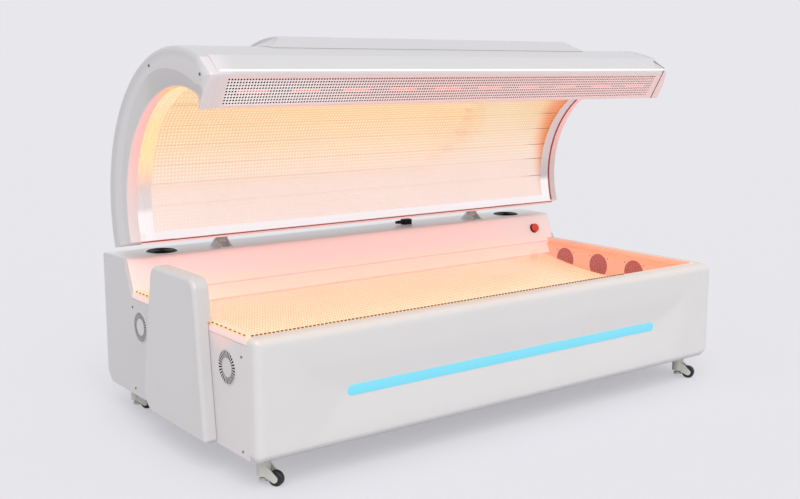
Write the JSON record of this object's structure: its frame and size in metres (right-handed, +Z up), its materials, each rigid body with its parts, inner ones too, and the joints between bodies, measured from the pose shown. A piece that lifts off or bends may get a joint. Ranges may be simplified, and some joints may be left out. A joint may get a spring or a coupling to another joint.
{
  "type": "red light therapy bed",
  "caption": "Lie-down light bed: a white base on levelling casters with a clear sheet over a lit tub, and a lit C-shaped canopy hinged along the back.",
  "frame": {"origin": "on the floor, under the middle of the object's box", "axes": "+X from the head end to the foot end, +Y to the back where the canopy is hinged, +Z up"},
  "size_m": [2.175, 1.157, 1.3839],
  "materials": {
    "white_shell": "smooth white moulding",
    "pale_panel": "white moulded panel",
    "grille_plate": "white painted perforated sheet",
    "floor_sheet": "mill finish sheet",
    "painted_steel": "grey painted steel",
    "polished_aluminium": "polished",
    "clear_acrylic": "clear, glossy",
    "led_board": "white boards with rows of lit chips",
    "lit_wall": "white moulding in red light",
    "blue_diffuser": "lit blue diffuser",
    "black_plastic": "matte black",
    "vent_grille": "grey, slotted",
    "foot_vent": "perforated, in red light",
    "stop_red": "glossy red",
    "caster_cast": "cast, cream painted",
    "caster_tyre": "black",
    "caster_pad": "black"
  },
  "bodies": {
    "base": {"front_panel": "white_shell", "rear_console": "white_shell", "head_end_cover": "white_shell", "bed_rim": "white_shell", "head_end_panel": "pale_panel", "foot_end_panel": "pale_panel", "rear_panel": "pale_panel", "bottom_tray": "floor_sheet", "chassis_frame": "painted_steel", "hinge_bracket_head": "painted_steel", "hinge_bracket_foot": "painted_steel", "led_driver": "polished_aluminium", "hinge_pin_head": "polished_aluminium", "hinge_pin_foot": "polished_aluminium", "bed_acrylic_sheet": "clear_acrylic", "bed_led_tray": "led_board", "tub_liner": "lit_wall", "front_light_strip": "blue_diffuser", "speaker_head": "black_plastic", "speaker_foot": "black_plastic", "estop_base": "black_plastic", "cable_block": "black_plastic", "cable_gland": "black_plastic", "power_inlet": "black_plastic", "fan_frame_front": "black_plastic", "fan_frame_rear": "black_plastic", "head_vent_front": "vent_grille", "head_vent_rear": "vent_grille", "foot_vent_1": "foot_vent", "foot_vent_2": "foot_vent", "foot_vent_3": "foot_vent"},
    "canopy": {"canopy_shell": "white_shell", "canopy_cheek_head": "white_shell", "canopy_cheek_foot": "white_shell", "canopy_top_housing": "white_shell", "canopy_lip": "white_shell", "lip_grille": "grille_plate", "lip_light_bar": "led_board", "canopy_led_carrier": "led_board", "canopy_acrylic": "clear_acrylic", "arc_trim_head": "polished_aluminium", "arc_trim_foot": "polished_aluminium", "bottom_trim": "polished_aluminium", "hinge_leaf_head": "painted_steel", "hinge_leaf_foot": "painted_steel"},
    "stop_button": {"estop_button": "stop_red"},
    "fan_front": {"fan_rotor_front": "black_plastic"},
    "fan_rear": {"fan_rotor_rear": "black_plastic"},
    "caster_front_head": {"caster_body_front_head": "caster_cast"},
    "wheel_front_head": {"caster_wheel_front_head": "caster_tyre"},
    "pad_front_head": {"caster_pad_front_head": "caster_pad"},
    "caster_front_foot": {"caster_body_front_foot": "caster_cast"},
    "wheel_front_foot": {"caster_wheel_front_foot": "caster_tyre"},
    "pad_front_foot": {"caster_pad_front_foot": "caster_pad"},
    "caster_rear_head": {"caster_body_rear_head": "caster_cast"},
    "wheel_rear_head": {"caster_wheel_rear_head": "caster_tyre"},
    "pad_rear_head": {"caster_pad_rear_head": "caster_pad"},
    "caster_rear_foot": {"caster_body_rear_foot": "caster_cast"},
    "wheel_rear_foot": {"caster_wheel_rear_foot": "caster_tyre"},
    "pad_rear_foot": {"caster_pad_rear_foot": "caster_pad"}
  },
  "joints": [
    {"name": "canopy_hinge", "type": "hinge", "parent": "base", "child": "canopy", "pos_m": [0.0225, 0.4465, 0.615], "axis": [1, 0, 0], "range_deg": [0, 45]},
    {"name": "stop_press", "type": "slide", "parent": "base", "child": "stop_button", "axis": [0, 0.9128, -0.4083], "range_m": [0, 0.004], "stiffness_N_per_m": 1500},
    {"name": "fan_spin_front", "type": "hinge", "parent": "base", "child": "fan_front", "pos_m": [-1.0302, -0.399, 0.3675], "axis": [1, 0, 0], "continuous": true},
    {"name": "fan_spin_rear", "type": "hinge", "parent": "base", "child": "fan_rear", "pos_m": [-1.0302, 0.253, 0.3675], "axis": [1, 0, 0], "continuous": true},
    {"name": "swivel_front_head", "type": "hinge", "parent": "base", "child": "caster_front_head", "pos_m": [-0.97, -0.4845, 0], "axis": [0, 0, 1], "continuous": true},
    {"name": "roll_front_head", "type": "hinge", "parent": "caster_front_head", "child": "wheel_front_head", "pos_m": [-0.94785, -0.52136, 0.02479], "axis": [0.8572, 0.515, 0], "continuous": true},
    {"name": "level_front_head", "type": "slide", "parent": "caster_front_head", "child": "pad_front_head", "axis": [0, 0, -1], "range_m": [0, 0.016]},
    {"name": "swivel_front_foot", "type": "hinge", "parent": "base", "child": "caster_front_foot", "pos_m": [1.015, -0.4845, 0], "axis": [0, 0, 1], "continuous": true},
    {"name": "roll_front_foot", "type": "hinge", "parent": "caster_front_foot", "child": "wheel_front_foot", "pos_m": [1.03715, -0.52136, 0.02479], "axis": [0.8572, 0.515, 0], "continuous": true},
    {"name": "level_front_foot", "type": "slide", "parent": "caster_front_foot", "child": "pad_front_foot", "axis": [0, 0, -1], "range_m": [0, 0.016]},
    {"name": "swivel_rear_head", "type": "hinge", "parent": "base", "child": "caster_rear_head", "pos_m": [-0.97, 0.4845, 0], "axis": [0, 0, 1], "continuous": true},
    {"name": "roll_rear_head", "type": "hinge", "parent": "caster_rear_head", "child": "wheel_rear_head", "pos_m": [-0.94785, 0.44764, 0.02479], "axis": [0.8572, 0.515, 0], "continuous": true},
    {"name": "level_rear_head", "type": "slide", "parent": "caster_rear_head", "child": "pad_rear_head", "axis": [0, 0, -1], "range_m": [0, 0.016]},
    {"name": "swivel_rear_foot", "type": "hinge", "parent": "base", "child": "caster_rear_foot", "pos_m": [1.015, 0.4845, 0], "axis": [0, 0, 1], "continuous": true},
    {"name": "roll_rear_foot", "type": "hinge", "parent": "caster_rear_foot", "child": "wheel_rear_foot", "pos_m": [1.03715, 0.44764, 0.02479], "axis": [0.8572, 0.515, 0], "continuous": true},
    {"name": "level_rear_foot", "type": "slide", "parent": "caster_rear_foot", "child": "pad_rear_foot", "axis": [0, 0, -1], "range_m": [0, 0.016]}
  ]
}
